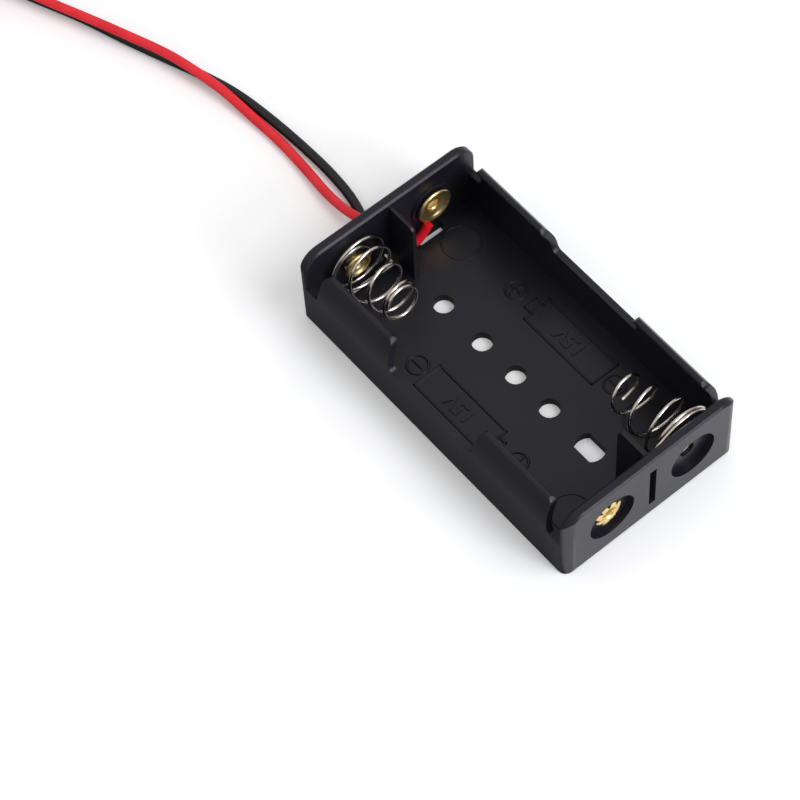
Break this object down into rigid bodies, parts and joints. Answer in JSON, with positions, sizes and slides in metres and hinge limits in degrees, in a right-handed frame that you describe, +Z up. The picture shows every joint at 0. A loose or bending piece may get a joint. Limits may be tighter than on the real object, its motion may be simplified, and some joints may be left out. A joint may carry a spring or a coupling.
{
  "type": "two-cell battery holder with leads",
  "caption": "Open moulded tray that holds round cells side by side in series, with conical springs, brass rivet contacts and a red and a black lead.",
  "frame": {"origin": "centre of the footprint of the housing, on the surface that it stands on", "axes": "+X along the cells, away from the end where the leads leave; +Y across, towards the bay with the red lead's contact; +Z up, out of the open side"},
  "size_m": [0.1519, 0.0507, 0.0147],
  "materials": {
    "black_plastic": "moulded, fine satin texture",
    "brass": "stamped and rolled, bright",
    "spring_wire": "nickel-plated spring steel, drawn",
    "red_insulation": "extruded PVC, soft gloss",
    "black_insulation": "extruded PVC, soft gloss",
    "tinned_strand": "tinned copper strands",
    "tie_band": "thin flat band"
  },
  "bodies": {
    "holder": {"housing": "black_plastic", "positive_eyelet": "brass", "output_spring_eyelet": "brass", "link_eyelet": "brass", "red_lead": "red_insulation", "red_lead_coil": "red_insulation", "red_lead_core": "tinned_strand", "red_lead_tip": "tinned_strand", "black_lead": "black_insulation", "black_lead_coil": "black_insulation", "black_lead_core": "tinned_strand", "black_lead_tip": "tinned_strand", "lead_tie": "tie_band"},
    "output_spring_coils": {"output_spring": "spring_wire"},
    "link_spring_coils": {"link_spring": "spring_wire"}
  },
  "joints": [
    {"name": "output_spring_press", "type": "slide", "parent": "holder", "child": "output_spring_coils", "axis": [-1, 0, 0], "range_m": [0, 0.008], "stiffness_N_per_m": 400, "deforming": ["output_spring"]},
    {"name": "link_spring_press", "type": "slide", "parent": "holder", "child": "link_spring_coils", "axis": [1, 0, 0], "range_m": [0, 0.0095], "stiffness_N_per_m": 400, "deforming": ["link_spring"]}
  ]
}
